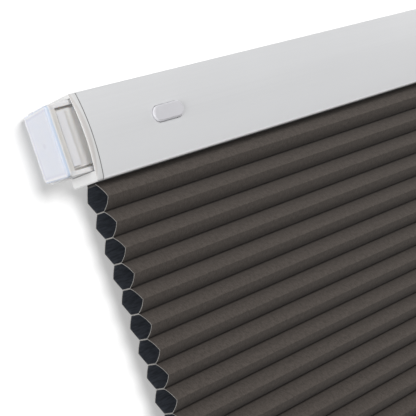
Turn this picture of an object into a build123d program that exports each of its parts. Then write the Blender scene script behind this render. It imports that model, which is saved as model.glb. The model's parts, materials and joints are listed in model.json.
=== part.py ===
from build123d import *
import os

# Honeycomb pleated blind that clamps between two window sides with sprung grip pads.
# X runs along the head rail, -Y faces the room and +Z is up.
# The origin is on the rail's top face, midway along it and above the glue lines of the cells.
os.makedirs("parts", exist_ok=True)

# Gaps that fits share
slide_gap = 0.3
running_gap = 0.1
seat_gap = 0.1
coil_gap = 0.2
overrun = 5.0

# Head rail, an extruded shell with a bowed front
rail_length = 570.0
rail_height = 48.5
rail_front = 13.2
rail_bulge = 3.3
rail_back = 10.5
rail_wall = 1.2
rail_corner = 1.6
rail_half = rail_length / 2
fascia_reach = rail_front + rail_bulge

# Groove that takes a fabric strip, in the rail's floor and in the bottom rail's top
slot_width = 8.4
groove_rib_height = 2.6
groove_rib_thickness = 1.2

# Fabric strips, tee sections glued to the first and the last cell
strip_head_width = 12.0
strip_head_thickness = 1.5
strip_drop = 1.7

# Honeycomb fabric
cell_count = 58
cell_pitch = 14.3
cell_glue_width = 7.8
cell_front_reach = 7.8
cell_back_reach = 5.0
fabric_wall = 0.6
cord_hole_width = 2.0

# Lift cords
cord_spread = 150.0
cord_plane = 2.0
cord_radius = 0.45

# Bottom rail
bottom_front = 12.4
bottom_bulge = 1.8
bottom_back = 9.7
bottom_height = 20.0
bottom_cap_thickness = 2.4
bottom_plug_length = 9.0
anchor_width = 6.8
anchor_height = 3.0

# End caps
collar_length = 4.5
collar_rim = 1.0
collar_edge = 0.6
spigot_length = 14.0

# Plungers and their grip pads
plunger_reach = 14.0
plunger_front = 11.8
plunger_back = 8.2
plunger_top_margin = 2.6
plunger_floor_margin = 6.1
plunger_inner = 16.0
plunger_edge = 0.7
plunger_travel = 13.0
panel_start = 3.6
panel_margin = 2.65
panel_depth = 1.6
panel_slot_height = 1.3
panel_slot_depth = 4.0
panel_rib_offset = 3.9
panel_rib_width = 5.1
panel_rib_margin = 2.25
panel_rib_rise = 1.3
pad_thickness = 3.0
pad_depth = 22.6
pad_margin = 0.1
pad_corner = 2.2
pad_bevel = 0.9

# Plunger shanks, springs and stop clips
shank_width = 6.2
shank_plane = 2.0
stop_clip_width = 12.0
stop_clip_length = 2.0
shank_tail = 2.0
latch_groove_depth = 0.8
spring_wire = 1.2
spring_pitch = 4.0
spring_flats = 10

# Lock buttons and the blocks that guide them
button_inset = 53.5
button_offset = 0.5
button_length = 22.0
button_height = 9.2
button_proud = 1.7
button_edge = 0.8
button_travel = 2.0
lip_margin = 1.5
lip_thickness = 1.2
lip_gap = 0.6
latch_thickness = 4.0
latch_height = 16.0
latch_back = 4.5
block_length = 26.0
block_front = 10.8
block_back_wall = 2.0
block_middle_height = 22.0
block_shelf = 2.4
return_radius = 1.8
return_wire = 0.5
return_pitch = 0.9
return_flats = 8

# Lift rod, spools and their cradles
rod_flats = 4.0
rod_drop = 14.0
rod_overhang = 3.0
spool_radius = 4.5
spool_length = 28.0
cradle_plate = 2.2
cradle_front = 11.0
cradle_top = 5.0
cradle_base = 2.0

# Spring motor on the lift rod
motor_length = 52.0
motor_front = 10.9
motor_top = 3.0
cover_thickness = 1.4

# Places that follow from the sizes above
floor_inner = rail_wall - rail_height
groove_top = floor_inner + groove_rib_height
fabric_top = -rail_height - strip_drop
fabric_bottom = fabric_top - cell_count * cell_pitch
bottom_top = fabric_bottom - strip_drop
plunger_height = rail_height - plunger_top_margin - plunger_floor_margin
plunger_drop = plunger_top_margin + plunger_height / 2
plunger_middle = (plunger_back - plunger_front) / 2
plunger_depth = plunger_front + plunger_back
plunger_tip = -rail_half - collar_length - plunger_reach
plunger_end = -rail_half + plunger_inner
socket_height = plunger_height + 2 * slide_gap
panel_height = plunger_height - 2 * panel_margin
panel_rib_height = panel_height - 2 * panel_rib_margin
pad_height = plunger_height - 2 * pad_margin
button_drop = plunger_drop + button_offset
spring_radius = shank_width / 2**0.5 + spring_wire
button_middle = -rail_half + button_inset
block_start = button_middle - block_length / 2
block_end = block_start + block_length
bore_back = rail_back - rail_wall
block_back = bore_back - seat_gap
fitting_floor = groove_top + seat_gap
rod_plane = cord_plane - spool_radius - cord_radius - running_gap
mask_width = 2 * (fascia_reach + rail_back)


# Outline of a rail seen along X: flat back, top and floor, and a bowed front.
def rail_section(front, bulge, back, top, height):
    with BuildSketch(Plane.YZ) as section:
        with BuildLine():
            ThreePointArc((-front, top), (-front - bulge, top - height / 2), (-front, top - height))
            Polyline((-front, top - height), (back, top - height), (back, top), (-front, top))
        make_face()
        fillet(section.vertices(), radius=rail_corner)
    return section.sketch_local


# The same outline moved inward by a wall.
def shrunk_section(outline, amount):
    with BuildSketch(Plane.YZ) as section:
        add(outline)
        offset(amount=-amount)
    return section.sketch_local


# Slot through a rail's lip with a rib on each side of it, drawn into the sketch that is open.
def strip_groove(lip_outer, inward):
    lip_inner = lip_outer + inward * rail_wall
    with Locations((0, (lip_outer + lip_inner) / 2)):
        Rectangle(slot_width, 2 * rail_wall, mode=Mode.SUBTRACT)
    rib_place = strip_head_width / 2 + slide_gap + groove_rib_thickness / 2
    with Locations((0, lip_inner + inward * groove_rib_height / 2)):
        with GridLocations(2 * rib_place, 0, 2, 1):
            Rectangle(groove_rib_thickness, groove_rib_height)


# Tee-shaped strip: its head lies on the lip inside the rail and its stem reaches the fabric.
def strip_section(lip_outer, inward):
    lip_inner = lip_outer + inward * rail_wall
    stem_end = lip_outer - inward * strip_drop
    with BuildSketch(Plane.YZ) as section:
        with Locations((0, lip_inner + inward * strip_head_thickness / 2)):
            Rectangle(strip_head_width, strip_head_thickness)
        with Locations((0, (lip_inner + stem_end) / 2)):
            Rectangle(cell_glue_width, abs(lip_inner - stem_end))
    return section.sketch_local


rail_outline = rail_section(rail_front, rail_bulge, rail_back, 0, rail_height)
rail_bore = shrunk_section(rail_outline, rail_wall)
bottom_outline = rail_section(bottom_front, bottom_bulge, bottom_back, bottom_top, bottom_height)
bottom_bore = shrunk_section(bottom_outline, rail_wall)

# Head rail: shell with the strip groove in its floor and a window for each lock button
with BuildPart() as head_rail:
    with BuildSketch(Plane.YZ.offset(-rail_half)):
        add(rail_outline)
        add(rail_bore, mode=Mode.SUBTRACT)
        strip_groove(-rail_height, 1)
    extrude(amount=rail_length)
    with BuildSketch(Plane.XZ.offset(rail_front)):
        with Locations((0, -button_drop)):
            with GridLocations(2 * abs(button_middle), 0, 2, 1):
                SlotOverall(button_length + 2 * slide_gap, button_height + 2 * slide_gap)
    extrude(amount=rail_bulge + overrun, mode=Mode.SUBTRACT)
head_rail.part.label = "head_rail"
export_step(head_rail.part, "parts/head_rail.step")

# Strip that holds the first cell in the rail's groove, with a hole for each cord
with BuildPart() as top_strip:
    with BuildSketch(Plane.YZ.offset(-rail_half)):
        add(strip_section(-rail_height, 1))
    extrude(amount=rail_length)
    with BuildSketch(Plane.XY.offset(fabric_top - overrun)):
        with Locations((0, cord_plane)):
            with GridLocations(2 * cord_spread, 0, 2, 1):
                Rectangle(cord_hole_width, cord_hole_width)
    extrude(amount=strip_drop + rail_height, mode=Mode.SUBTRACT)
top_strip.part.label = "top_strip"
export_step(top_strip.part, "parts/top_strip.step")

# Hollow of one cell: the six-sided outline moved inward by the fabric
with BuildSketch(Plane.YZ) as cell_hollow:
    glue_half = cell_glue_width / 2
    Polygon(
        (-glue_half, cell_pitch / 2),
        (-glue_half - cell_front_reach, 0),
        (-glue_half, -cell_pitch / 2),
        (glue_half, -cell_pitch / 2),
        (glue_half + cell_back_reach, 0),
        (glue_half, cell_pitch / 2),
        align=None,
    )
    offset(amount=-fabric_wall, kind=Kind.INTERSECTION)

# Fold lines down the front of the fabric and back up its rear
front_folds = []
back_folds = []
for cell in range(cell_count):
    cell_top = fabric_top - cell * cell_pitch
    front_folds.append((-glue_half, cell_top))
    front_folds.append((-glue_half - cell_front_reach, cell_top - cell_pitch / 2))
    back_folds.append((glue_half, cell_top))
    back_folds.append((glue_half + cell_back_reach, cell_top - cell_pitch / 2))
front_folds.append((-glue_half, fabric_bottom))
back_folds.append((glue_half, fabric_bottom))

# Fabric: cells stacked on their glue lines, open at both ends, with a row of cord holes
with BuildPart() as cell_fabric:
    with BuildSketch(Plane.YZ.offset(-rail_half)):
        Polygon(*front_folds, *reversed(back_folds), align=None)
        with Locations(*[(0, fabric_top - (cell + 0.5) * cell_pitch) for cell in range(cell_count)]):
            add(cell_hollow.sketch_local, mode=Mode.SUBTRACT)
    extrude(amount=rail_length)
    with BuildSketch(Plane.XY.offset(fabric_bottom - overrun)):
        with Locations((0, cord_plane)):
            with GridLocations(2 * cord_spread, 0, 2, 1):
                Rectangle(cord_hole_width, cord_hole_width)
    extrude(amount=fabric_top - fabric_bottom + 2 * overrun, mode=Mode.SUBTRACT)
cell_fabric.part.label = "cell_fabric"
export_step(cell_fabric.part, "parts/cell_fabric.step")

# Strip under the last cell
with BuildPart() as bottom_strip:
    with BuildSketch(Plane.YZ.offset(-rail_half)):
        add(strip_section(bottom_top, -1))
    extrude(amount=rail_length)
    with BuildSketch(Plane.XY.offset(bottom_top - bottom_height)):
        with Locations((0, cord_plane)):
            with GridLocations(2 * cord_spread, 0, 2, 1):
                Rectangle(cord_hole_width, cord_hole_width)
    extrude(amount=bottom_height + strip_drop + overrun, mode=Mode.SUBTRACT)
bottom_strip.part.label = "bottom_strip"
export_step(bottom_strip.part, "parts/bottom_strip.step")

# Bottom rail: a lower shell with the groove in its top
with BuildPart() as bottom_rail:
    with BuildSketch(Plane.YZ.offset(-rail_half)):
        add(bottom_outline)
        add(bottom_bore, mode=Mode.SUBTRACT)
        strip_groove(bottom_top, -1)
    extrude(amount=rail_length)
bottom_rail.part.label = "bottom_rail"
export_step(bottom_rail.part, "parts/bottom_rail.step")

# Bottom end cap: a plate with the rail's outline and a hollow plug below the groove
plug_top = bottom_top - rail_wall - groove_rib_height - seat_gap
plug_height = plug_top - (bottom_top - bottom_height) - rail_wall - slide_gap
plug_depth = bottom_front + bottom_back - 2 * (rail_wall + slide_gap)
with BuildPart() as left_bottom_cap:
    with BuildSketch(Plane.YZ.offset(-rail_half)):
        add(bottom_outline)
    extrude(amount=-bottom_cap_thickness)
    chamfer(left_bottom_cap.faces().sort_by(Axis.X)[0].edges(), length=collar_edge)
    with BuildSketch(Plane.YZ.offset(-rail_half)):
        with Locations(((bottom_back - bottom_front) / 2, plug_top - plug_height / 2)):
            Rectangle(plug_depth, plug_height)
            Rectangle(plug_depth - 2 * rail_wall, plug_height - 2 * rail_wall, mode=Mode.SUBTRACT)
    extrude(amount=bottom_plug_length)
left_bottom_cap.part.label = "left_bottom_cap"
export_step(left_bottom_cap.part, "parts/left_bottom_cap.step")

# Cord anchor: a block under the bottom strip that the cord's end is fixed to
anchor_top = bottom_top - rail_wall - strip_head_thickness
with BuildPart() as left_cord_anchor:
    with BuildSketch(Plane.XY.offset(anchor_top)):
        with Locations((-cord_spread, cord_plane)):
            Rectangle(anchor_width, anchor_width)
    extrude(amount=-anchor_height)
left_cord_anchor.part.label = "left_cord_anchor"
export_step(left_cord_anchor.part, "parts/left_cord_anchor.step")

# Lift cord: straight from the rear of the spool down to the anchor
with BuildPart() as left_lift_cord:
    with BuildSketch(Plane.XY.offset(anchor_top)):
        with Locations((-cord_spread, cord_plane)):
            Circle(cord_radius)
    extrude(amount=-rod_drop - anchor_top)
left_lift_cord.part.label = "left_lift_cord"
export_step(left_lift_cord.part, "parts/left_lift_cord.step")

# End cap: a thin collar that carries on the rail's outline and a spigot inside the rail
with BuildPart() as left_end_cap:
    with BuildSketch(Plane.YZ.offset(-rail_half)):
        add(rail_outline)
    extrude(amount=-collar_length)
    chamfer(left_end_cap.faces().sort_by(Axis.X)[0].edges(), length=collar_edge)
    with BuildSketch(Plane.YZ.offset(-rail_half)):
        add(shrunk_section(rail_bore, seat_gap))
        with Locations((0, fitting_floor)):
            Rectangle(mask_width, rail_height, align=(Align.CENTER, Align.MIN), mode=Mode.INTERSECT)
    extrude(amount=spigot_length)
    with BuildSketch(Plane.YZ.offset(-rail_half - collar_length)):
        add(shrunk_section(rail_outline, collar_rim))
        with Locations((plunger_back + slide_gap, -plunger_drop)):
            Rectangle(mask_width, socket_height, align=(Align.MAX, Align.CENTER), mode=Mode.INTERSECT)
    extrude(amount=collar_length, mode=Mode.SUBTRACT)
    with BuildSketch(Plane.YZ.offset(-rail_half)):
        with Locations((plunger_back + slide_gap, -plunger_drop)):
            Rectangle(mask_width, socket_height, align=(Align.MAX, Align.CENTER))
    extrude(amount=spigot_length, mode=Mode.SUBTRACT)
left_end_cap.part.label = "left_end_cap"
export_step(left_end_cap.part, "parts/left_end_cap.step")

# Plunger: a slider with a sunk front panel, two slots, a finger rib and a shank on its inner end
panel_from = plunger_tip + panel_start
panel_middle = (panel_from + plunger_end) / 2
panel_length = plunger_end - panel_from
shank_end = block_end + slide_gap + stop_clip_length + shank_tail
latch_groove_middle = button_middle - plunger_travel
latch_groove_length = latch_thickness + 2 * slide_gap
with BuildPart() as left_plunger:
    with BuildSketch(Plane.YZ.offset(plunger_tip)):
        with Locations((plunger_middle, -plunger_drop)):
            RectangleRounded(plunger_depth, plunger_height, plunger_edge)
    extrude(amount=plunger_end - plunger_tip)
    with BuildSketch(Plane.XZ.offset(plunger_front)):
        with Locations((panel_middle, -plunger_drop)):
            Rectangle(panel_length, panel_height)
    extrude(amount=-panel_depth, mode=Mode.SUBTRACT)
    with BuildSketch(Plane.XZ.offset(plunger_front)):
        with Locations((panel_middle, -plunger_drop)):
            with GridLocations(0, panel_height - panel_slot_height, 1, 2):
                Rectangle(panel_length, panel_slot_height)
    extrude(amount=-panel_slot_depth, mode=Mode.SUBTRACT)
    with BuildSketch(Plane.XZ.offset(plunger_front - panel_depth)):
        with Locations((plunger_tip + panel_rib_offset + panel_rib_width / 2, -plunger_drop)):
            Rectangle(panel_rib_width, panel_rib_height)
    extrude(amount=panel_rib_rise)
    with BuildSketch(Plane.YZ.offset(plunger_end)):
        with Locations((-shank_plane, -button_drop)):
            Rectangle(shank_width, shank_width)
    extrude(amount=shank_end - plunger_end)
    with BuildSketch(Plane.YZ.offset(latch_groove_middle - latch_groove_length / 2)):
        with Locations((-shank_plane, -button_drop)):
            Rectangle(shank_width + overrun, shank_width + overrun)
            groove_core = shank_width - 2 * latch_groove_depth
            Rectangle(groove_core, groove_core, mode=Mode.SUBTRACT)
    extrude(amount=latch_groove_length, mode=Mode.SUBTRACT)
left_plunger.part.label = "left_plunger"
export_step(left_plunger.part, "parts/left_plunger.step")

# Stop clip: keeps the shank from being pushed out through the guide block
with BuildPart() as left_stop_clip:
    with BuildSketch(Plane.YZ.offset(block_end + slide_gap)):
        with Locations((-shank_plane, -button_drop)):
            Rectangle(stop_clip_width, stop_clip_width)
            Rectangle(shank_width + 2 * seat_gap, shank_width + 2 * seat_gap, mode=Mode.SUBTRACT)
    extrude(amount=stop_clip_length)
left_stop_clip.part.label = "left_stop_clip"
export_step(left_stop_clip.part, "parts/left_stop_clip.step")

# Grip pad: a bevelled soft plate on the plunger's outer end
with BuildPart() as left_grip_pad:
    with BuildSketch(Plane.YZ.offset(plunger_tip)):
        with Locations((plunger_middle, -plunger_drop)):
            RectangleRounded(pad_depth, pad_height, pad_corner)
    extrude(amount=-pad_thickness)
    chamfer(left_grip_pad.faces().sort_by(Axis.X)[0].edges(), length=pad_bevel)
left_grip_pad.part.label = "left_grip_pad"
export_step(left_grip_pad.part, "parts/left_grip_pad.step")

# Guide block: seat of the plunger spring, with a bore for the shank and a pocket for the latch
block_height = -rail_wall - slide_gap - fitting_floor
block_depth = block_front + block_back
pocket_back = block_back - block_back_wall
window_low = -button_drop - block_middle_height / 2
window_high = -button_drop + block_middle_height / 2
with BuildPart() as left_guide_block:
    with BuildSketch(Plane.YZ.offset(block_start)):
        with Locations((block_back, fitting_floor)):
            Rectangle(block_depth, block_height, align=(Align.MAX, Align.MIN))
        with Locations((pocket_back, fitting_floor + block_shelf)):
            lower_height = window_low - fitting_floor - block_shelf
            Rectangle(block_depth, lower_height, align=(Align.MAX, Align.MIN), mode=Mode.SUBTRACT)
        with Locations((pocket_back, window_high)):
            upper_height = fitting_floor + block_height - block_shelf - window_high
            Rectangle(block_depth, upper_height, align=(Align.MAX, Align.MIN), mode=Mode.SUBTRACT)
        with Locations((-shank_plane, -button_drop)):
            Rectangle(shank_width + 2 * slide_gap, shank_width + 2 * slide_gap, mode=Mode.SUBTRACT)
    extrude(amount=block_length)
    with BuildSketch(Plane.XZ.offset(-pocket_back)):
        with Locations((button_middle, -button_drop)):
            Rectangle(latch_thickness + 2 * slide_gap, latch_height + 2 * slide_gap)
    extrude(amount=pocket_back + block_front + overrun, mode=Mode.SUBTRACT)
left_guide_block.part.label = "left_guide_block"
export_step(left_guide_block.part, "parts/left_guide_block.step")

# Lock button: a rounded cap in the rail's window, a lip behind it and a latch plate round the shank
cap_root = fascia_reach - rail_wall - lip_gap
lip_length = button_length + 2 * lip_margin
lip_height = button_height + 2 * lip_margin
latch_hole_height = shank_width + 2 * slide_gap
with BuildPart() as left_lock_button:
    with BuildSketch(Plane.XZ.offset(cap_root)):
        with Locations((button_middle, -button_drop)):
            SlotOverall(button_length, button_height)
    extrude(amount=fascia_reach + button_proud - cap_root)
    chamfer(left_lock_button.faces().sort_by(Axis.Y)[0].edges(), length=button_edge)
    with BuildSketch(Plane.XZ.offset(cap_root)):
        with Locations((button_middle, -button_drop)):
            Rectangle(lip_length, lip_height)
    extrude(amount=-lip_thickness)
    with BuildSketch(Plane.XZ.offset(cap_root - lip_thickness)):
        with Locations((button_middle, -button_drop)):
            Rectangle(latch_thickness, latch_height)
    extrude(amount=-(cap_root - lip_thickness + latch_back))
    with BuildSketch(Plane.YZ.offset(button_middle - latch_thickness)):
        with Locations((-shank_plane - button_travel / 2, -button_drop)):
            Rectangle(latch_hole_height + button_travel, latch_hole_height)
    extrude(amount=2 * latch_thickness, mode=Mode.SUBTRACT)
left_lock_button.part.label = "left_lock_button"
export_step(left_lock_button.part, "parts/left_lock_button.step")


# Coil of square wire whose turns are straight runs between evenly spaced points of a helix.
def coil(start, direction, length, radius, wire, pitch, flats):
    with BuildPart() as winding:
        with BuildLine() as path:
            turns = Helix(pitch, length, radius, center=start, direction=direction, mode=Mode.PRIVATE)
            runs = round(flats * length / pitch)
            Polyline(*[turns @ (run / runs) for run in range(runs + 1)])
        with BuildSketch(Plane(path.line @ 0, x_dir=direction, z_dir=path.line % 0)):
            Rectangle(wire, wire)
        sweep(transition=Transition.RIGHT)
    return winding.part


# Plunger spring: round the shank, between the plunger and the guide block
plunger_spring_length = block_start - plunger_end - spring_wire - 2 * coil_gap
plunger_spring_start = plunger_end + coil_gap + spring_wire / 2
with BuildPart() as left_plunger_spring:
    add(
        coil(
            (plunger_spring_start, -shank_plane, -button_drop),
            (1, 0, 0),
            plunger_spring_length,
            spring_radius,
            spring_wire,
            spring_pitch,
            spring_flats,
        )
    )
left_plunger_spring.part.label = "left_plunger_spring"
export_step(left_plunger_spring.part, "parts/left_plunger_spring.step")

# Return spring: between the latch plate and the back of its pocket
return_length = pocket_back - latch_back - return_wire - 2 * coil_gap
return_start = latch_back + coil_gap + return_wire / 2
with BuildPart() as left_return_spring:
    add(
        coil(
            (button_middle, return_start, -button_drop),
            (0, 1, 0),
            return_length,
            return_radius,
            return_wire,
            return_pitch,
            return_flats,
        )
    )
left_return_spring.part.label = "left_return_spring"
export_step(left_return_spring.part, "parts/left_return_spring.step")

# Cord spool: a tube on the lift rod whose ends run in the cradle
spool_middle = -cord_spread
cradle_half = spool_length / 2 + slide_gap + cradle_plate
bore_flats = rod_flats + 2 * running_gap
with BuildPart() as left_spool:
    with BuildSketch(Plane.YZ.offset(spool_middle - cradle_half)):
        with Locations((rod_plane, -rod_drop)):
            Circle(spool_radius)
            RegularPolygon(bore_flats / 2, 6, major_radius=False, mode=Mode.SUBTRACT)
    extrude(amount=2 * cradle_half)
left_spool.part.label = "left_spool"
export_step(left_spool.part, "parts/left_spool.step")

# Spool cradle: two plates on a base, with bearings for the spool and a hole for the cord
cradle_depth = cradle_front + bore_back - slide_gap
cradle_height = -cradle_top - fitting_floor
with BuildPart() as left_cradle:
    with BuildSketch(Plane.YZ.offset(spool_middle - cradle_half)):
        with Locations((-cradle_front, fitting_floor)):
            Rectangle(cradle_depth, cradle_height, align=(Align.MIN, Align.MIN))
    extrude(amount=2 * cradle_half)
    with BuildSketch(Plane.YZ.offset(spool_middle - cradle_half + cradle_plate)):
        with Locations((-cradle_front, fitting_floor + cradle_base)):
            Rectangle(mask_width, cradle_height, align=(Align.CENTER, Align.MIN))
    extrude(amount=2 * (cradle_half - cradle_plate), mode=Mode.SUBTRACT)
    with BuildSketch(Plane.YZ.offset(spool_middle - cradle_half)):
        with Locations((rod_plane, -rod_drop)):
            Circle(spool_radius + running_gap)
    extrude(amount=2 * cradle_half, mode=Mode.SUBTRACT)
    with BuildSketch(Plane.XY.offset(fitting_floor)):
        with Locations((spool_middle, cord_plane)):
            Rectangle(cord_hole_width, cord_hole_width)
    extrude(amount=cradle_base, mode=Mode.SUBTRACT)
left_cradle.part.label = "left_cradle"
export_step(left_cradle.part, "parts/left_cradle.step")

# Right-hand pieces are the left-hand ones mirrored across the middle of the rail
left_pieces = (
    left_bottom_cap,
    left_cord_anchor,
    left_lift_cord,
    left_end_cap,
    left_plunger,
    left_stop_clip,
    left_grip_pad,
    left_guide_block,
    left_lock_button,
    left_plunger_spring,
    left_return_spring,
    left_spool,
    left_cradle,
)
for left_piece in left_pieces:
    right_name = left_piece.part.label.replace("left", "right")
    with BuildPart() as right_piece:
        mirror(left_piece.part, about=Plane.YZ)
    right_piece.part.label = right_name
    export_step(right_piece.part, f"parts/{right_name}.step")

# Lift rod: a six-sided bar through both spools and the spring motor
rod_half = cord_spread + cradle_half + rod_overhang
with BuildPart() as lift_rod:
    with BuildSketch(Plane.YZ.offset(-rod_half)):
        with Locations((rod_plane, -rod_drop)):
            RegularPolygon(rod_flats / 2, 6, major_radius=False)
    extrude(amount=2 * rod_half)
lift_rod.part.label = "lift_rod"
export_step(lift_rod.part, "parts/lift_rod.step")

# Motor case: a closed housing with a bearing for the lift rod
motor_height = -motor_top - fitting_floor
motor_middle = fitting_floor + motor_height / 2
motor_back = bore_back - slide_gap
rod_corner = rod_flats / 3**0.5
with BuildPart() as motor_case:
    with BuildSketch(Plane.XZ.offset(motor_front)):
        with Locations((0, motor_middle)):
            Rectangle(motor_length, motor_height)
    extrude(amount=-(motor_front + motor_back))
    with BuildSketch(Plane.YZ.offset(-motor_length / 2)):
        with Locations((rod_plane, -rod_drop)):
            Circle(rod_corner + running_gap)
    extrude(amount=motor_length, mode=Mode.SUBTRACT)
motor_case.part.label = "motor_case"
export_step(motor_case.part, "parts/motor_case.step")

# Motor cover: the plate that closes the housing
with BuildPart() as motor_cover:
    with BuildSketch(Plane.XZ.offset(motor_front)):
        with Locations((0, motor_middle)):
            Rectangle(motor_length, motor_height)
    extrude(amount=cover_thickness)
motor_cover.part.label = "motor_cover"
export_step(motor_cover.part, "parts/motor_cover.step")
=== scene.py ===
import bpy
import json
import math
import numpy as np
from mathutils import Matrix, Vector


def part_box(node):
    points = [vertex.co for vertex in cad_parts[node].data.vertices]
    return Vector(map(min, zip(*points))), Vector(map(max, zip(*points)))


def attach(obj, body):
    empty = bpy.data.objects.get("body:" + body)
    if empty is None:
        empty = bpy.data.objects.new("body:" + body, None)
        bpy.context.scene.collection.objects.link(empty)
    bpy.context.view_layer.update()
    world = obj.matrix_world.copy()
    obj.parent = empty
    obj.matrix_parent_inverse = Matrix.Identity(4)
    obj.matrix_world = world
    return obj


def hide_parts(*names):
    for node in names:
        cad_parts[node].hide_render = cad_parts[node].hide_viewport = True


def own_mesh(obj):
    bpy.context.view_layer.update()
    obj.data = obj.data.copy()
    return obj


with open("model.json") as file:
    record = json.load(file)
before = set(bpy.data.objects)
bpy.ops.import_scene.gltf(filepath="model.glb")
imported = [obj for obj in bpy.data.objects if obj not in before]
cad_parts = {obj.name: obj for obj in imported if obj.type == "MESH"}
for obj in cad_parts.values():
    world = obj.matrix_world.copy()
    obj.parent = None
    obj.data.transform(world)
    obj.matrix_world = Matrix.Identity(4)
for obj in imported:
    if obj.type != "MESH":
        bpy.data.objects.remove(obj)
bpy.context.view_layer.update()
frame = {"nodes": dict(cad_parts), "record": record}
nodes = frame["nodes"]
scene = bpy.context.scene
scene.view_settings.view_transform = "Standard"
sides = {"left": -1, "right": 1}
white = (1.0, 1.0, 1.0)
softContrast = (0.3, 0.7)  # the part of a noise's range that a mottled colour runs over


class Tone:
    # one socket of a node tree; Python's operators on it add Math nodes
    def __init__(self, finish, socket):
        self.finish, self.socket = finish, socket

    def math(self, operation, first, second=0.0):
        values = {"Value": first, "Value_001": second}
        return self.finish.node("ShaderNodeMath", {"operation": operation}, values)

    def __add__(self, other):
        return self.math("ADD", self, other)

    def __radd__(self, other):
        return self.math("ADD", other, self)

    def __sub__(self, other):
        return self.math("SUBTRACT", self, other)

    def __rsub__(self, other):
        return self.math("SUBTRACT", other, self)

    def __mul__(self, other):
        return self.math("MULTIPLY", self, other)

    def __rmul__(self, other):
        return self.math("MULTIPLY", other, self)

    def __abs__(self):
        return self.math("ABSOLUTE", self)

    def sine(self):
        return self.math("SINE", self)

    def least(self, other):
        return self.math("MINIMUM", self, other)

    def most(self, other):
        return self.math("MAXIMUM", self, other)

    def beside(self, name):  # another output of the same node
        return Tone(self.finish, self.socket.node.outputs[name])


class Finish:
    # the node tree of a material or of the world; one method makes its nodes
    def __init__(self, owner):
        owner.use_nodes = True
        self.owner, self.tree = owner, owner.node_tree
        self.tree.nodes.clear()

    def node(self, kind, settings=None, sockets=None, out=None):
        made = self.tree.nodes.new(kind)
        for key, value in (settings or {}).items():
            setattr(made, key, value)
        for key, value in (sockets or {}).items():
            socket = ([s for s in made.inputs if s.identifier == key] or [made.inputs[key]])[0]
            if isinstance(value, Tone):
                self.tree.links.new(value.socket, socket)
            else:
                socket.default_value = value
        found = [s for s in made.outputs if out in (None, s.identifier)]
        return Tone(self, found[0]) if found else self.owner

    def place(self):  # Object coordinates
        return self.node("ShaderNodeTexCoord", out="Object")

    def surfacePlace(self):  # the piece's own UV map
        return self.node("ShaderNodeTexCoord", out="UV")

    def parts(self, vector):  # the vector's three numbers
        x = self.node("ShaderNodeSeparateXYZ", {}, {"Vector": vector}, "X")
        return x, x.beside("Y"), x.beside("Z")

    def stretched(self, vector, scale):
        return self.node("ShaderNodeMapping", {}, {"Vector": vector, "Scale": scale})

    def noise(self, vector, scale, detail=3.0, rough=0.55):
        values = {"Vector": vector, "Scale": scale, "Detail": detail, "Roughness": rough}
        return self.node("ShaderNodeTexNoise", {}, values)

    def mixed(self, factor, first, second):  # colours
        values = {"Factor_Float": factor, "A_Color": first, "B_Color": second}
        return self.node("ShaderNodeMix", {"data_type": "RGBA"}, values, "Result_Color")

    def ramp(self, value, low, high):  # 0 below low, 1 above high, smooth between
        values = {"Value": value, "From Min": low, "From Max": high}
        return self.node("ShaderNodeMapRange", {"interpolation_type": "SMOOTHSTEP"}, values)

    def upTo(self, value, high, soft):  # 1 up to high, 0 beyond
        return 1 - self.ramp(value, high, high + soft)

    def between(self, value, low, high, soft):  # 1 from low to high, 0 outside
        return self.ramp(value, low - soft, low) * self.upTo(value, high, soft)

    def mottled(self, value, contrast, color, shades):  # from a darker to a paler shade of the colour
        return self.mixed(self.ramp(value, *contrast), shade(color, shades[0]), shade(color, shades[1]))

    def bumped(self, height, distance, strength):
        values = {"Height": height, "Distance": distance, "Strength": strength}
        return self.node("ShaderNodeBump", {}, values)

    def close(self, shader):
        return self.node("ShaderNodeOutputMaterial", {}, {"Surface": shader})

    def principled(self, sockets):
        return self.close(self.node("ShaderNodeBsdfPrincipled", {}, sockets))


def newFinish(name):
    return Finish(bpy.data.materials.new(name))


def shade(color, amount=1.0):  # the colour made darker or lighter, with full alpha
    return tuple(channel * amount for channel in color) + (1.0,)


def gridFaces(rows, cols):
    # quads between neighbouring points of a rows x cols grid, with the last column joined to the first
    r, c = np.meshgrid(np.arange(rows - 1), np.arange(cols), indexing="ij")
    n = (c + 1) % cols
    quads = [r * cols + c, r * cols + n, (r + 1) * cols + n, (r + 1) * cols + c]
    return np.stack(quads, -1).reshape(-1, 4)


def surfaceObject(name, points, quads, ends=(), uv=None, kinds=None):
    # a mesh from arrays: points, quads and closing faces,
    # one UV for each point and one material number for each quad
    mesh = bpy.data.meshes.new(name)
    mesh.from_pydata(points.reshape(-1, 3), [], [*quads.tolist(), *ends])
    mesh.polygons.foreach_set("use_smooth", np.ones(len(mesh.polygons), bool))
    if uv is not None:
        order = np.zeros(len(mesh.loops), np.int32)
        mesh.loops.foreach_get("vertex_index", order)
        layer = mesh.uv_layers.new(name="surface")
        layer.data.foreach_set("uv", uv.reshape(-1, 2)[order].astype(np.float32).ravel())
    if kinds is not None:
        mesh.polygons.foreach_set("material_index", kinds.astype(np.int32))
    mesh.update()
    made = bpy.data.objects.new(name, mesh)
    scene.collection.objects.link(made)
    return made


def dress(piece, materials, body, node):
    # the piece gets its materials, moves with the body and stands for the CAD node
    for material in materials:
        piece.data.materials.append(material)
    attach(piece, body)
    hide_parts(node)


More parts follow.
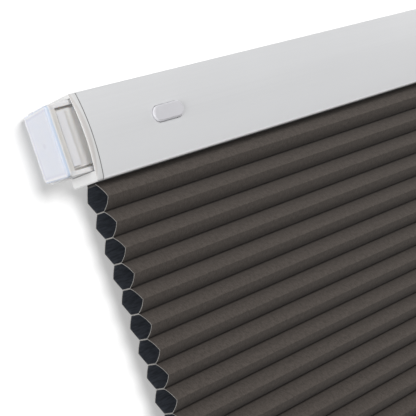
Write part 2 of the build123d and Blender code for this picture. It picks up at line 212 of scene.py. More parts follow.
# honeycomb cloth, in metres; a noise has its scale, detail and roughness, a bump its height and strength
cloth = dict(
    cells=58, pitch=0.0143, top=-0.0502, half=0.285, glueHalf=0.0039,
    frontReach=0.0078, backReach=0.0052, wall=0.00035, gap=0.00001, firstRise=0.0015,
    slack=0.0010, slackAt=5.2, slackOver=4.0,  # cells round the fifth glue line hang a little lower
    rounds=(0.0009, 0.0003, 0.0011, 0.0006, 0.0003, 0.0006),  # corners, from the upper front one round
    bows=(0.0005, 0.0006, 0.0, 0.0001, 0.0002, 0.0),  # bulge of the wall after each corner
    turnPoints=5, wallPoints=3, columns=10,
    sway=0.00012, waves=((23.0, 2.4), (11.0, -1.3)), clothStep=0.061,
    taupe=(0.082, 0.0698, 0.0618), contrast=(0.34, 0.66), shades=(0.68, 1.32),
    blotchNoise=(380.0,), fibreStretch=(1500.0, 320.0, 1.0), fibreNoise=(1.0, 3.0, 0.6),
    grainNoise=(1200.0, 3.0, 0.65), blotchShare=0.2, fibreShare=0.4, grainShare=0.4,
    # painted shade: the valleys darker towards the glue lines, and a dark line along each glue line
    foldShade=0.25, foldShare=0.34, foldSoft=0.001,
    valley=(0.014, 0.0100, 0.008), seamShare=0.92, seamInside=0.0002, seamOutside=0.0009,
    fibreLift=0.6, grainLift=0.4, felt=(0.00012, 0.7), rough=0.82, roughSpread=0.12,
    lining=(0.069, 0.077, 0.094), liningShades=(0.75, 1.3), creaseStretch=(160.0, 700.0, 1.0),
    creases=(0.0002, 0.5), liningRough=0.5, liningSpread=0.2,
    cutEdge=(0.31, 0.302, 0.29), cutShades=(0.78, 1.15), cutNoise=2400.0, cutBump=(0.00015, 0.6),
    cutRough=0.85,
)


def cellRing(c):
    # closed outline of one cell: six corners, each a parabola between two points on its walls,
    # and on each wall a few points pushed outwards by a half sine
    g, h = c["glueHalf"], c["pitch"] / 2 - c["gap"]
    front, back = -g - c["frontReach"], g + c["backReach"]
    corners = np.array([(-g, h), (front, 0), (-g, -h), (g, -h), (back, 0), (g, h)])
    cut = np.array(c["rounds"])[:, None]
    toNext, toLast = np.roll(corners, -1, 0) - corners, np.roll(corners, 1, 0) - corners
    toNext /= np.linalg.norm(toNext, axis=1)[:, None]
    toLast /= np.linalg.norm(toLast, axis=1)[:, None]
    enter, leave = corners + toLast * cut, corners + toNext * cut
    t = np.linspace(0, 1, c["turnPoints"])[:, None, None]
    turns = (1 - t) ** 2 * enter + 2 * t * (1 - t) * corners + t ** 2 * leave
    run = np.roll(enter, -1, 0) - leave
    s = np.linspace(0, 1, c["wallPoints"] + 2)[1:-1][:, None, None]
    outward = np.stack([-run[:, 1], run[:, 0]], 1)
    outward *= -1 / np.linalg.norm(outward, axis=1)[:, None]
    walls = leave + run * s + outward * np.array(c["bows"])[:, None] * np.sin(np.pi * s)
    return np.concatenate([turns, walls]).transpose(1, 0, 2).reshape(-1, 2)


def makeCloth(c):
    # each cell's outline carried along the rail: an outer skin, one moved in by the wall,
    # and a rim at each end
    outer = cellRing(c)
    along = np.roll(outer, -1, 0) - np.roll(outer, 1, 0)
    along /= np.linalg.norm(along, axis=1)[:, None]
    inward = np.stack([-along[:, 1], along[:, 0]], 1)  # to the left of the outline's run
    inner = outer + inward * c["wall"]
    size, cols, cells = len(outer), c["columns"], c["cells"]
    # glue lines counted down from the rail: even steps, lowered by a bell curve
    edge = np.arange(cells + 1)
    sag = c["slack"] * np.exp(-(((edge - c["slackAt"]) / c["slackOver"]) ** 2))
    line = c["top"] - edge * c["pitch"] - sag
    middle = ((line[:-1] + line[1:]) / 2)[:, None, None]
    stretch = ((line[:-1] - line[1:]) / c["pitch"])[:, None, None]
    cell = np.arange(cells)[:, None, None]
    x = np.linspace(-c["half"], c["half"], cols)[None, :, None]
    # how far the folds lean in or out: slow waves along the rail, different in each cell
    lean = c["sway"] * sum(np.sin(a * x + b * cell) for a, b in c["waves"])

    def skin(ring):
        reach = np.clip((np.abs(ring[:, 0]) - c["glueHalf"]) / c["frontReach"], 0, 1)
        # the first cell's upper half is drawn up to the rail
        rise = (cell == 0) * c["firstRise"] * np.clip(2 * ring[:, 1] / c["pitch"], 0, 1)
        place = np.zeros((cells, cols, size, 3))
        place[..., 0] = x
        place[..., 1] = ring[:, 0] + lean * reach
        place[..., 2] = ring[:, 1] * stretch + middle + rise
        return place

    skins = [skin(outer), skin(inner)]
    run = np.concatenate([[0], np.cumsum(np.linalg.norm(np.diff(outer, axis=0), axis=1))])
    uv = np.zeros((cells, cols, size, 2))
    uv[..., 0] = x
    uv[..., 1] = run + c["clothStep"] * cell
    count = cells * cols * size
    tubes = (gridFaces(cols, size)[None] + cols * size * cell).reshape(-1, 4)
    points = [skins[0].reshape(-1, 3), skins[1].reshape(-1, 3)]
    maps = [uv.reshape(-1, 2)] * 2
    faces = [tubes, tubes[:, ::-1] + count]
    kinds = [np.zeros(len(tubes)), np.ones(len(tubes))]
    for column, turn in ((0, -1), (cols - 1, 1)):  # cut edges at both ends
        rims = (gridFaces(2, size)[None] + 2 * size * cell).reshape(-1, 4)
        rims = rims + sum(len(p) for p in points)
        points.append(np.stack([skins[0][:, column], skins[1][:, column]], 1).reshape(-1, 3))
        maps.append(np.stack([uv[:, column], uv[:, column]], 1).reshape(-1, 2))
        faces.append(rims[:, ::turn])
        kinds.append(np.full(len(rims), 2))
    made = surfaceObject("honeycombCloth", np.concatenate(points), np.concatenate(faces),
                         uv=np.concatenate(maps), kinds=np.concatenate(kinds))
    return made, run[-1] + np.linalg.norm(outer[0] - outer[-1])


def clothOutside(c):
    # pressed fibre cloth: slow blotches, fibres across the folds and a fine felted grain,
    #     with painted shade in the valleys, darkest as a painted shadow along the glue lines where the
    #     cells meet
    f = newFinish("taupeCloth")
    uv = f.surfacePlace()
    blotch = f.noise(uv, *c["blotchNoise"])
    fibres = f.noise(f.stretched(uv, c["fibreStretch"]), *c["fibreNoise"])
    grain = f.noise(uv, *c["grainNoise"])
    level = c["blotchShare"] * blotch + c["fibreShare"] * fibres + c["grainShare"] * grain
    plain = f.mottled(level, c["contrast"], c["taupe"], c["shades"])
    out = abs(f.parts(f.place())[1])
    # painted shade: darker away from the folds, towards the valleys
    fold = f.ramp(out, c["glueHalf"] - c["foldSoft"], c["glueHalf"] + c["frontReach"])  # 1 at the folds
    color = f.mixed(c["foldShare"] * (1 - fold), plain, shade(c["taupe"], c["foldShade"]))
    # painted shade: a dark line in the crease along each glue line
    seam = 1 - f.ramp(out, c["glueHalf"] - c["seamInside"], c["glueHalf"] + c["seamOutside"])
    color = f.mixed(c["seamShare"] * seam, color, shade(c["valley"]))
    height = c["fibreLift"] * fibres + c["grainLift"] * grain
    return f.principled({"Base Color": color, "Roughness": c["rough"] + c["roughSpread"] * grain,
                         "Sheen Weight": 0.05, "Sheen Roughness": 0.5, "Specular IOR Level": 0.12,
                         "Normal": f.bumped(height, *c["felt"])})


def clothLining(c):
    # dark film bonded to the inside of the cells, a little smoother than the cloth
    f = newFinish("darkLining")
    creases = f.noise(f.stretched(f.surfacePlace(), c["creaseStretch"]), 1.0)
    color = f.mottled(creases, softContrast, c["lining"], c["liningShades"])
    return f.principled({"Base Color": color, "Roughness": c["liningRough"] + c["liningSpread"] * creases,
                         "Specular IOR Level": 0.15, "Normal": f.bumped(creases, *c["creases"])})


def clothCut(c):
    # pale core that shows where the cells are cut
    f = newFinish("cutClothEdge")
    fibres = f.noise(f.place(), c["cutNoise"])
    color = f.mottled(fibres, softContrast, c["cutEdge"], c["cutShades"])
    return f.principled({"Base Color": color, "Roughness": c["cutRough"],
                         "Normal": f.bumped(fibres, *c["cutBump"])})


honeycomb, cellRun = makeCloth(cloth)
clothFinishes = [make(cloth) for make in (clothOutside, clothLining, clothCut)]
dress(honeycomb, clothFinishes, "head", "cell_fabric")
clothLength = round(cloth["cells"] * cellRun, 3)
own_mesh(honeycomb)
print("cloth:", len(honeycomb.data.polygons), "quads,", clothLength, "m of cloth")


def tubeObject(name, path, radius, corners):
    # a tube: a circle carried along a path, square to the path's direction;
    # the guide is X, or Y where the path runs along X
    ahead = np.gradient(path, axis=0)
    ahead /= np.linalg.norm(ahead, axis=1)[:, None]
    guide = np.where(np.abs(ahead[:, :1]) > 0.9, (0.0, 1.0, 0.0), (1.0, 0.0, 0.0))
    side = np.cross(ahead, guide)
    side /= np.linalg.norm(side, axis=1)[:, None]
    other = np.cross(ahead, side)
    a = np.linspace(0, 2 * np.pi, corners, endpoint=False)
    ring = np.cos(a)[None, :, None] * side[:, None] + np.sin(a)[None, :, None] * other[:, None]
    points = path[:, None] + radius * ring
    around, along = np.meshgrid(a / (2 * np.pi), np.linspace(0, 1, len(path)))
    first = list(range(corners))
    ends = [first[::-1], [place + corners * (len(path) - 1) for place in first]]
    quads = gridFaces(len(path), corners)
    return surfaceObject(name, points, quads, ends, np.stack([around, along], -1))


# lift cords, inside the cells
cord = dict(
    spread=0.150, plane=0.0020, radius=0.00045, top=-0.014, bottom=-0.884, steps=24, corners=8,
    color=(0.07, 0.065, 0.06), shades=(0.7, 1.3), twist=25.13, plaits=5200.0,
    bump=(0.0001, 0.6), rough=0.8,
)


def cordBraid(c):
    # crossed strands: two diagonal waves over the tube's own UV
    f = newFinish("braidedCord")
    across, along, _ = f.parts(f.surfacePlace())
    strands = (across * c["twist"] + along * c["plaits"]).sine()
    crossed = (across * c["twist"] - along * c["plaits"]).sine()
    plait = 0.5 + 0.25 * (strands + crossed)  # from 0 to 1
    color = f.mixed(plait, shade(c["color"], c["shades"][0]), shade(c["color"], c["shades"][1]))
    return f.principled({"Base Color": color, "Roughness": c["rough"],
                         "Normal": f.bumped(plait, *c["bump"])})


braid = cordBraid(cord)
for side, sign in sides.items():
    route = np.zeros((cord["steps"], 3))
    route[:, 0] = sign * cord["spread"]
    route[:, 1] = cord["plane"]
    route[:, 2] = np.linspace(cord["bottom"], cord["top"], cord["steps"])
    line = tubeObject(side + "LiftCord", route, cord["radius"], cord["corners"])
    dress(line, [braid], "head", side + "_lift_cord")
    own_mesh(line)
print("lift cords:", len(sides))


# coil springs behind the plungers and the buttons
plungerSpring = dict(low=0.2453, high=0.2682, plane=-0.0020, drop=-0.0230, radius=0.0055, wire=0.0006,
                     turns=5.7, corners=8, seat=0.2445, keep=0.46)
returnSpring = dict(x=0.2315, low=0.0051, high=0.0068, drop=-0.0230, radius=0.0018, wire=0.00025,
                    turns=2.4, corners=6, seat=0.0072, keep=0.26)
coilSteps = np.linspace(0, 1, 120)
steel = dict(dark=(0.34, 0.34, 0.35), pale=(0.56, 0.56, 0.57), drawn=(40.0, 3.0, 1.0),
             rough=0.25, roughSpread=0.2)


def springWire(c):
    # drawn steel: streaks along the wire
    f = newFinish("drawnSpringWire")
    drawn = f.noise(f.stretched(f.surfacePlace(), c["drawn"]), 1.0)
    color = f.mixed(f.ramp(drawn, *softContrast), shade(c["dark"]), shade(c["pale"]))
    return f.principled({"Base Color": color, "Metallic": 1.0,
                         "Roughness": c["rough"] + c["roughSpread"] * drawn})


def coilParts(s):  # how far along, and the two places across, at each step of a helix
    angle = 2 * np.pi * s["turns"] * coilSteps
    reach = s["low"] + (s["high"] - s["low"]) * coilSteps
    return reach, s["radius"] * np.cos(angle), s["radius"] * np.sin(angle)


wire = springWire(steel)
for side, sign in sides.items():
    s = plungerSpring
    reach, across, up = coilParts(s)
    path = np.stack([sign * reach, s["plane"] + across, s["drop"] + up], 1)
    coil = tubeObject(side + "PlungerSpring", path, s["wire"], s["corners"])
    dress(coil, [wire], "head", side + "_plunger_spring")
    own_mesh(coil)
    s = returnSpring
    reach, across, up = coilParts(s)
    path = np.stack([sign * s["x"] + across, reach, s["drop"] + up], 1)
    coil = tubeObject(side + "ReturnSpring", path, s["wire"], s["corners"])
    dress(coil, [wire], "head", side + "_return_spring")
    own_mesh(coil)
print("springs:", 2 * len(sides))


# grip pads
padLow, padHigh = (np.array(corner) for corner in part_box("right_grip_pad"))
pad = dict(
    low=padLow, high=padHigh, middle=(padLow + padHigh) / 2, half=(padHigh - padLow) / 2,
    corner=0.0022, bevel=0.0009, turnPoints=7, bevelPoints=6, sharpest=0.0003, foot=0.0001, taper=0.060,
    bevelStart=0.00108, bevelFull=0.00072, faceFull=0.00054, faceInset=(0.00081, 0.00099),
    border=0.0046, borderPoints=14, grooveAt=0.0026, grooveHalf=0.0006, groove=0.00012,
    faceScales=np.array([0.85, 0.7, 0.55, 0.42, 0.32, 0.24, 0.17, 0.11, 0.06]),
    dimple=0.00014, dimpleShare=0.14,
    side=(0.53, 0.62, 0.755), flange=0.0009, flangeSoft=0.0002, flangeTone=(0.74, 0.735, 0.735),
    bevelTone=(0.60, 0.65, 0.76), rim=(0.86, 0.865, 0.90), rimEdge=(0.0018, 0.0024),
    face=(0.76, 0.785, 0.865),
    lilac=(0.69, 0.69, 0.80), lilacBand=(0.0022, 0.0028, 0.0008), lilacShare=0.6,
    spotEdge=(0.0006, 0.0022), spotShare=0.5, spotShade=0.93,
    cloudScale=240.0, cloudShare=0.25, cloudBump=(0.0001, 0.3), rough=0.3, roughSpread=0.1,
    scatter=(0.0016, 0.0018, 0.0022),
)


def makePad(name, sign, c):
    # rounded rectangles stacked outwards: up the side, round the edge by a quarter circle,
    # in over the border, then scaled to the middle;
    # the face sinks by bell curves at the border's groove and at the middle
    t = np.linspace(0, np.pi / 2, c["bevelPoints"])
    border = np.linspace(c["bevel"], c["border"], c["borderPoints"])[1:]
    flat = np.full(len(c["faceScales"]), c["border"])
    inset = np.concatenate([[0, 0], c["bevel"] * (1 - np.cos(t)), border, flat])
    scale = np.concatenate([np.ones(2 + len(t) + len(border)), c["faceScales"]])
    deep = 2 * c["half"][0]
    level = np.zeros(len(border) + len(flat))
    sunk = np.concatenate([[deep, deep - c["foot"]], c["bevel"] * (1 - np.sin(t)), level])
    sunk += c["groove"] * np.exp(-(((inset - c["grooveAt"]) / c["grooveHalf"]) ** 2)) * (scale == 1)
    sunk += c["dimple"] * np.exp(-((scale / c["dimpleShare"]) ** 2))
    radius = np.maximum(c["corner"] - inset, c["sharpest"])
    angle = (np.arange(4)[:, None] * np.pi / 2 + np.linspace(0, np.pi / 2, c["turnPoints"])).ravel()
    quarter = np.repeat(np.array([(1, 1), (-1, 1), (-1, -1), (1, -1)]), c["turnPoints"], 0)
    turn = np.stack([np.cos(angle), np.sin(angle)], 1)
    centre = c["half"][1:] - inset[:, None] - radius[:, None]
    ring = (centre[:, None] * quarter + radius[:, None, None] * turn) * scale[:, None, None]
    ring[..., 1] *= 1 - c["taper"] * (ring[..., 0] / c["half"][1] + 1) / 2  # shorter towards the back
    points = np.zeros(ring.shape[:2] + (3,))
    points[..., 0] = sign * (c["high"][0] - sunk)[:, None]
    points[..., 1:] = c["middle"][1:] + ring
    rows, cols = ring.shape[:2]
    first = list(range(cols))
    ends = [first[::-sign], [place + cols * (rows - 1) for place in first[::sign]]]
    return surfaceObject(name, points, gridFaces(rows, cols)[:, ::sign], ends)


def padGel(c):
    # milky soft plastic: a plain flange, bluer sides, a pale border, a lilac line inside it,
    # then the milky middle with a lilac spot
    f = newFinish("milkyGripPad")
    p = f.place()
    x, y, z = f.parts(p)
    cloud = f.noise(p, c["cloudScale"])
    out = abs(x)
    outer, inner = c["high"][0], c["low"][0] + c["flange"]
    bluer = f.ramp(out, inner - c["flangeSoft"], inner + c["flangeSoft"])
    color = f.mixed(bluer, shade(c["flangeTone"]), shade(c["side"]))
    bevelled = f.ramp(out, outer - c["bevelStart"], outer - c["bevelFull"])
    color = f.mixed(bevelled, color, shade(c["bevelTone"]))
    shorter = (y - c["low"][1]) * (0.5 * c["taper"] * c["half"][2] / c["half"][1])
    upDown = c["half"][2] - shorter - abs(z - c["middle"][2])
    inside = upDown.least(c["high"][1] - y)  # from the nearest edge but the front one
    edge = inside.least(y - c["low"][1])
    face = f.mixed(f.ramp(inside, *c["rimEdge"]), shade(c["rim"]), shade(c["face"]))
    face = f.mixed(c["lilacShare"] * f.between(inside, *c["lilacBand"]), face, shade(c["lilac"]))
    here = f.node("ShaderNodeCombineXYZ", {}, {"Y": y, "Z": z})
    centre = (0.0, c["middle"][1], c["middle"][2])
    away = f.node("ShaderNodeVectorMath", {"operation": "DISTANCE"},
                  {"Vector": here, "Vector_001": centre}, "Value")
    spot = c["spotShare"] * (1 - f.ramp(away, *c["spotEdge"]))
    face = f.mixed(spot, face, shade(c["lilac"], c["spotShade"]))
    flat = f.ramp(edge, *c["faceInset"]) * f.ramp(out, outer - c["bevelFull"], outer - c["faceFull"])
    color = f.mixed(flat, color, face)
    color = f.mixed(c["cloudShare"] * cloud, color, shade(c["rim"]))
    return f.principled({"Base Color": color, "Roughness": c["rough"] + c["roughSpread"] * cloud,
                         "Subsurface Weight": 0.3, "Subsurface Radius": c["scatter"],
                         "Subsurface Scale": 1.0,
                         "Coat Weight": 0.15, "Coat Roughness": 0.15,
                         "Normal": f.bumped(cloud, *c["cloudBump"])})


gel = padGel(pad)
for side, sign in sides.items():
    softPad = makePad(side + "SoftPad", sign, pad)
    dress(softPad, [gel], side + "_plunger_unit", side + "_grip_pad")
print("grip pads:", len(sides))


# finishes of the CAD pieces, in metres; the rail first, with its button's hole and its lower front edge
rail = dict(
    color=(0.638, 0.643, 0.655), contrast=(0.35, 0.65), shades=(0.985, 1.012),
    peelNoise=(900.0, 2.0), drawnStretch=(6.0, 700.0, 700.0), drawnNoise=(1.0, 2.0),
    cloudNoise=(16.0, 2.0), cloudShare=0.6, drawnShare=0.4,
    foot=(-0.060, -0.044, 0.022), footPaintedLight=1.07, paintedLightTone=(0.90, 0.90, 0.91), soft=0.0002,
    holeX=0.2315, holeZ=-0.0230, holeHalfX=0.0116, holeHalfZ=0.0052, holeFront=-0.0158, holeBack=-0.0148,
    under=(-0.0526, -0.0484, 0.0018), underBack=(-0.008, 0.002),
    bump=(0.00003, 0.35), rough=0.36, roughSpread=0.08,
)


def railPaint(c):
    # satin coat on an extruded rail: faint draw lines along X and a slight orange peel;
    #     painted light: a little paler towards its foot, and pale on the sides of the button's hole and
    #         on the lower front edge, where shade falls
    f = newFinish("satinRailPaint")
    p = f.place()
    x, y, z = f.parts(p)
    peel = f.noise(p, *c["peelNoise"])
    drawn = f.noise(f.stretched(p, c["drawnStretch"]), *c["drawnNoise"])
    cloudy = f.noise(p, *c["cloudNoise"])
    level = c["cloudShare"] * cloudy + c["drawnShare"] * drawn
    color = f.mottled(level, c["contrast"], c["color"], c["shades"])
    # painted light: paler towards the lower part of the front, which the lamps light less
    color = f.mixed(f.between(z, *c["foot"]), color, shade(c["color"], c["footPaintedLight"]))
    wide = f.upTo(abs(abs(x) - c["holeX"]), c["holeHalfX"], c["soft"])
    tall = f.upTo(abs(z - c["holeZ"]), c["holeHalfZ"], c["soft"])
    holeSides = wide * tall * f.between(y, c["holeFront"], c["holeBack"], c["soft"])
    lowEdge = f.between(z, *c["under"]) * f.upTo(y, *c["underBack"])
    # painted light: the sides of the button's hole and the lower front edge painted pale, where shade
    # falls
    color = f.mixed(holeSides.most(lowEdge), color, shade(c["paintedLightTone"]))
    return f.principled({"Base Color": color, "Roughness": c["rough"] + c["roughSpread"] * drawn,
                         "Coat Weight": 0.08, "Coat Roughness": 0.25,
                         "Normal": f.bumped(0.5 * (peel + drawn), *c["bump"])})


# what the moulded plastics share: a spark-eroded grain and soft flow marks
mould = dict(grainNoise=(2600.0, 2.0), flowScale=55.0, shades=(0.97, 1.02), bump=(0.00004, 0.35),
             roughSpread=0.1)


def mouldStart(name):
    # a new finish, the place on the piece and the grain
    f = newFinish(name)
    p = f.place()
    return f, p, f.noise(p, *mould["grainNoise"])


def mouldEnd(f, color, rough, grain):
    return f.principled({"Base Color": color, "Roughness": rough + mould["roughSpread"] * grain,
                         "Normal": f.bumped(grain, *mould["bump"])})


def flowMarks(f, p, color):
    return f.mottled(f.noise(p, mould["flowScale"]), softContrast, color, mould["shades"])


def mouldedPlastic(name, color, rough):
    f, p, grain = mouldStart(name)
    return mouldEnd(f, flowMarks(f, p, color), rough, grain)


button = dict(color=(0.600, 0.595, 0.625), front=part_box("left_lock_button")[0][1],
              sidesFrom=0.0003, sidesTo=0.0006, sidePaintedLight=1.24, rough=0.3)


def buttonPlastic(c):
    # grey-white moulding; its sides painted paler, painted light that lifts the shade in the gap round
    # the button
    f, p, grain = mouldStart("greyWhiteButton")
    # painted light: the sides behind the front face painted paler
    behind = f.ramp(f.parts(p)[1], c["front"] + c["sidesFrom"], c["front"] + c["sidesTo"])
    color = f.mixed(behind, flowMarks(f, p, c["color"]), shade(c["color"], c["sidePaintedLight"]))
    return mouldEnd(f, color, c["rough"], grain)


cap = dict(
    end=(0.86, 0.86, 0.855), front=(0.68, 0.68, 0.68), frontFrom=-0.0125, frontSoft=0.0004,
    endFrom=0.2894, endSoft=0.00005, lip=(0.54, 0.515, 0.50), lipFrom=0.2887, lipDeep=0.0021,
    lipMiddle=-0.0225, lipHalf=0.0215, lipSoft=0.0006, scoopShadeShare=0.85, flowShare=0.1, flowShade=0.8,
    seam=(0.2849, 0.28536, 0.00024), seamShadow=0.12, rough=0.32,
)


def capPlastic(c):
    # white moulding with painted light and shade: its end face paler than its front, a painted shadow as
    # a dark line where its collar meets the rail,
    #     and painted shade of a scoop as a darker lip at the collar's mouth, widest at its middle
    f, p, grain = mouldStart("whiteEndCap")
    x, y, z = f.parts(p)
    out = abs(x)
    # painted light: the end face paler and the collar's front darker, for the light that each gets
    front = 1 - f.ramp(y, c["frontFrom"] - c["frontSoft"], c["frontFrom"] + c["frontSoft"])
    front = front * f.upTo(out, c["endFrom"], c["endSoft"])
    color = f.mixed(front, shade(c["end"]), shade(c["front"]))
    # painted shade of a scoop: the collar's mouth darker, widest at its middle
    high = (z - c["lipMiddle"]) * (1 / c["lipHalf"])
    lip = out + c["lipDeep"] * (1 - high * high) - c["lipFrom"]
    scoopShade = c["scoopShadeShare"] * front * f.ramp(lip, -c["lipSoft"], c["lipSoft"])
    color = f.mixed(scoopShade, color, shade(c["lip"]))
    flow = c["flowShare"] * f.noise(p, mould["flowScale"])
    color = f.mixed(flow, color, shade(c["front"], c["flowShade"]))
    # painted shadow: a dark line in the joint where the collar meets the rail
    color = f.mixed(f.between(out, *c["seam"]), color, shade(c["front"], c["seamShadow"]))
    return mouldEnd(f, color, c["rough"], grain)


plunger = dict(
    front=-0.0118, sunkFrom=0.0006, sunkTo=0.0014, middle=-0.0225, lipFrom=0.0170, lipSoft=0.0004,
    ribFrom=0.2945, ribTo=0.2996, ribSoft=0.0003, panelFrom=0.2902, panelEnds=(0.0145, 0.0165),
    ivory=(0.76, 0.735, 0.705), panel=(0.95, 0.935, 0.915), panelNear=(0.71, 0.695, 0.68),
    rib=(0.755, 0.75, 0.775), lip=(0.775, 0.77, 0.775), grainNoise=(2200.0, 2.0), flowScale=70.0,
    flowShare=0.12, flowShade=0.7, rough=0.42, roughSpread=0.12, scatter=(0.0040, 0.0036, 0.0032),
)


def plungerPlastic(c):
    # ivory slider: whiter on its lips and its finger rib; the sunk panel has painted light, pale where
    # the collar and the lips shade it and darker near the rib
    f = newFinish("ivoryPlunger")
    p = f.place()
    x, y, z = f.parts(p)
    out, upDown = abs(x), abs(z - c["middle"])
    grain = f.noise(p, *c["grainNoise"])
    sunk = f.ramp(y, c["front"] + c["sunkFrom"], c["front"] + c["sunkTo"])
    lip = f.ramp(upDown, c["lipFrom"] - c["lipSoft"], c["lipFrom"] + c["lipSoft"])
    rib = (1 - sunk) * f.between(out, c["ribFrom"], c["ribTo"], c["ribSoft"]) * (1 - lip)
    toned = f.mixed(lip, shade(c["ivory"]), shade(c["lip"]))
    # painted light: the sunk panel pale towards the collar and its ends, where the collar and the lips
    # shade it, and darker near the rib
    nearRib = f.ramp(out, c["panelFrom"], c["ribFrom"]) * (1 - f.ramp(upDown, *c["panelEnds"]))
    deep = f.mixed(nearRib, shade(c["panel"]), shade(c["panelNear"]))
    toned = f.mixed(sunk * (1 - lip), toned, deep)
    toned = f.mixed(rib, toned, shade(c["rib"]))
    color = f.mixed(c["flowShare"] * f.noise(p, c["flowScale"]), toned, shade(c["ivory"], c["flowShade"]))
    return f.principled({"Base Color": color, "Roughness": c["rough"] + c["roughSpread"] * grain,
                         "Subsurface Weight": 0.4, "Subsurface Radius": c["scatter"],
                         "Subsurface Scale": 1.0,
                         "Normal": f.bumped(grain, *mould["bump"])})


rod = dict(dark=(0.5, 0.5, 0.51), pale=(0.72, 0.72, 0.73), drawn=(20.0, 1800.0, 1800.0),
           rough=0.3, roughSpread=0.2)


def rodMetal(c):
    # milled bar: streaks along X
    f = newFinish("milledRod")
    drawn = f.noise(f.stretched(f.place(), c["drawn"]), 1.0)
    color = f.mixed(drawn, shade(c["dark"]), shade(c["pale"]))
    return f.principled({"Base Color": color, "Metallic": 1.0,
                         "Roughness": c["rough"] + c["roughSpread"] * drawn})


strip = dict(color=(0.022, 0.02, 0.019), rough=0.5)
innards = dict(color=(0.74, 0.74, 0.72), rough=0.4)
finishes = {
    "rail_white": railPaint(rail),
    "cap_white": capPlastic(cap),
    "button_white": buttonPlastic(button),
    "plunger_ivory": plungerPlastic(plunger),
    "strip_dark": mouldedPlastic("darkStrip", **strip),
    "inner_plastic": mouldedPlastic("plainInnerPlastic", **innards),
    "spring_steel": wire,
    "rod_metal": rodMetal(rod),
}
slotOf = {row["node"]: row["material_slot"] for row in frame["record"]["subparts"]}
for name, piece in nodes.items():
    if slotOf[name] in finishes:
        piece.data.materials.clear()
        piece.data.materials.append(finishes[slotOf[name]])
print("finishes:", len(finishes))

# soft edges: the width of the rounding on each kind of piece
edges = {"lock_button": 0.0004, "plunger": 0.0003, "end_cap": 0.00025, "bottom_cap": 0.0003}
rounding = dict(join=0.000002, segments=3, sharperThan=32)


def softEdges(piece, width, c):
    # joins the solid's loose triangles and rounds its sharp edges
    joined = piece.modifiers.new("joined", "WELD")
    joined.merge_threshold = c["join"]
    rounded = piece.modifiers.new("rounded", "BEVEL")
    rounded.width = width
    rounded.segments = c["segments"]
    rounded.limit_method = "ANGLE"
    rounded.angle_limit = math.radians(c["sharperThan"])
    rounded.harden_normals = True


for side in sides:
    for name, width in edges.items():
        softEdges(nodes[f"{side}_{name}"], width, rounding)
print("soft edges:", len(sides) * len(edges), "pieces")


# stage: a pale floor and a wall close behind the blind, both seen from their front only
stage = dict(
    backWall=dict(glow=0.41, color=0.40, corners=[(-2.5, 0.0115, -2.2), (2.5, 0.0115, -2.2),
                                                  (2.5, 0.0115, 1.6), (-2.5, 0.0115, 1.6)]),
    paleFloor=dict(glow=0.62, color=0.40, corners=[(-4, -4, -0.945), (4, -4, -0.945),
                                                   (4, 4, -0.945), (-4, 4, -0.945)]),
)
stageNoise = (3.0, 2.0)
stageMottle = 0.004


def stagePaint(name, c):
    # matt pale paint that glows for the camera alone, and nothing at all from behind
    f = newFinish(name)
    seen = f.node("ShaderNodeLightPath", out="Is Camera Ray")
    behind = f.node("ShaderNodeNewGeometry", out="Backfacing")
    darker, paler = shade(white, c["color"] - stageMottle), shade(white, c["color"] + stageMottle)
    pale = f.mixed(f.noise(f.place(), *stageNoise), darker, paler)
    matt = f.node("ShaderNodeBsdfDiffuse", {}, {"Color": pale})
    glow = f.node("ShaderNodeEmission", {}, {"Color": shade(white), "Strength": c["glow"]})
    lit = f.node("ShaderNodeAddShader", {}, {"Shader": matt, "Shader_001": glow})
    front = f.node("ShaderNodeMixShader", {}, {"Fac": seen, "Shader": matt, "Shader_001": lit})
    clear = f.node("ShaderNodeBsdfTransparent")
    shown = f.node("ShaderNodeMixShader", {}, {"Fac": behind, "Shader": front, "Shader_001": clear})
    return f.close(shown)


planes = {}
for name, look in stage.items():
    plane = surfaceObject(name, np.array(look["corners"], float), np.array([[0, 1, 2, 3]]))
    plane.data.materials.append(stagePaint(name + "Paint", look))
    plane.visible_diffuse = plane.visible_glossy = False
    plane.visible_transmission = plane.visible_shadow = False
    planes[name] = plane

# the room is white to the camera, in gloss and through clear things, and dimmer as a light
roomLight = 0.32
room = Finish(bpy.data.worlds.new("paleRoom"))
scene.world = room.owner
seen = room.node("ShaderNodeLightPath", out="Is Camera Ray")
shown = seen.most(seen.beside("Is Glossy Ray")).most(seen.beside("Is Transmission Ray"))
strength = roomLight + (1 - roomLight) * shown
sky = room.node("ShaderNodeBackground", {}, {"Color": shade(white), "Strength": strength})
room.node("ShaderNodeOutputWorld", {}, {"Surface": sky})

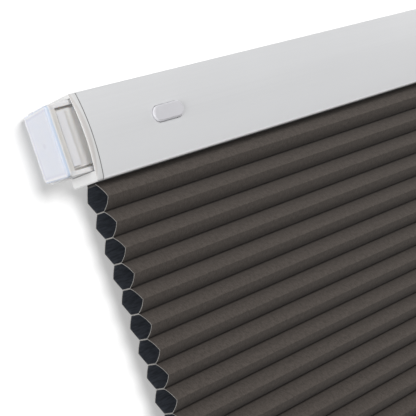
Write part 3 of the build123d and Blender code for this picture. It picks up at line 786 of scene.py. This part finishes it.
# the wall has a lamp of its own, which makes the blind's shadow; the others leave the wall out
lampTarget = Vector((-0.2, 0.0, -0.1))
lamps = dict(
    key=dict(toward=(0.12, -0.92, 0.54), distance=2.2, size=1.25, power=23.8),
    leftFill=dict(toward=(-0.90, -0.33, 0.08), distance=2.4, size=1.3, power=29.5),
    lowFill=dict(toward=(-0.75, -0.25, -0.60), distance=1.6, size=0.8, power=1.8),
    rightFill=dict(toward=(0.98, -0.05, 0.20), distance=1.8, size=1.0, power=12.0),
    backFill=dict(toward=(-0.10, 0.95, 0.30), distance=1.8, size=1.2, power=10.0),
    wallLamp=dict(toward=(0.18, -0.92, 0.27), distance=2.2, size=1.10, power=80.0),
)
wallAlone = bpy.data.collections.new("wallAlone")
allButWall = bpy.data.collections.new("allButWall")
for group in (wallAlone, allButWall):
    group.objects.link(planes["backWall"])
allButWall.collection_objects[0].light_linking.link_state = "EXCLUDE"
for name, lamp in lamps.items():
    data = bpy.data.lights.new(name, "AREA")
    data.shape = "DISK"
    data.size = lamp["size"]
    data.energy = lamp["power"]
    light = bpy.data.objects.new(name, data)
    light.location = lampTarget + Vector(lamp["toward"]).normalized() * lamp["distance"]
    light.rotation_euler = (lampTarget - light.location).to_track_quat("-Z", "Y").to_euler()
    light.light_linking.receiver_collection = wallAlone if name == "wallLamp" else allButWall
    scene.collection.objects.link(light)
print("stage:", len(planes), "planes,", len(lamps), "lamps")


# camera of the photo: yaw from +Y towards +X, elevation, then roll about its own axis
view = dict(place=(-0.65084, -0.52258, -0.06658), yaw=39.9946, elevation=-1.2685, roll=18.5853,
            lens=102.127, sensor=36.0, nearest=0.01)
yaw, elevation, roll = (math.radians(view[k]) for k in ("yaw", "elevation", "roll"))
flatAhead = Vector((math.sin(yaw), math.cos(yaw), 0)) * math.cos(elevation)
ahead = flatAhead + Vector((0, 0, math.sin(elevation)))
level = Vector((math.cos(yaw), -math.sin(yaw), 0))
upright = level.cross(ahead)
right = math.cos(roll) * level - math.sin(roll) * upright
up = math.sin(roll) * level + math.cos(roll) * upright
lens = bpy.data.cameras.new("photoCamera")
lens.lens = view["lens"]
lens.sensor_width = view["sensor"]
lens.clip_start = view["nearest"]
camera = bpy.data.objects.new("photoCamera", lens)
turned = Matrix((right, up, -ahead)).transposed().to_4x4()
camera.matrix_world = Matrix.Translation(view["place"]) @ turned
scene.collection.objects.link(camera)
scene.camera = camera
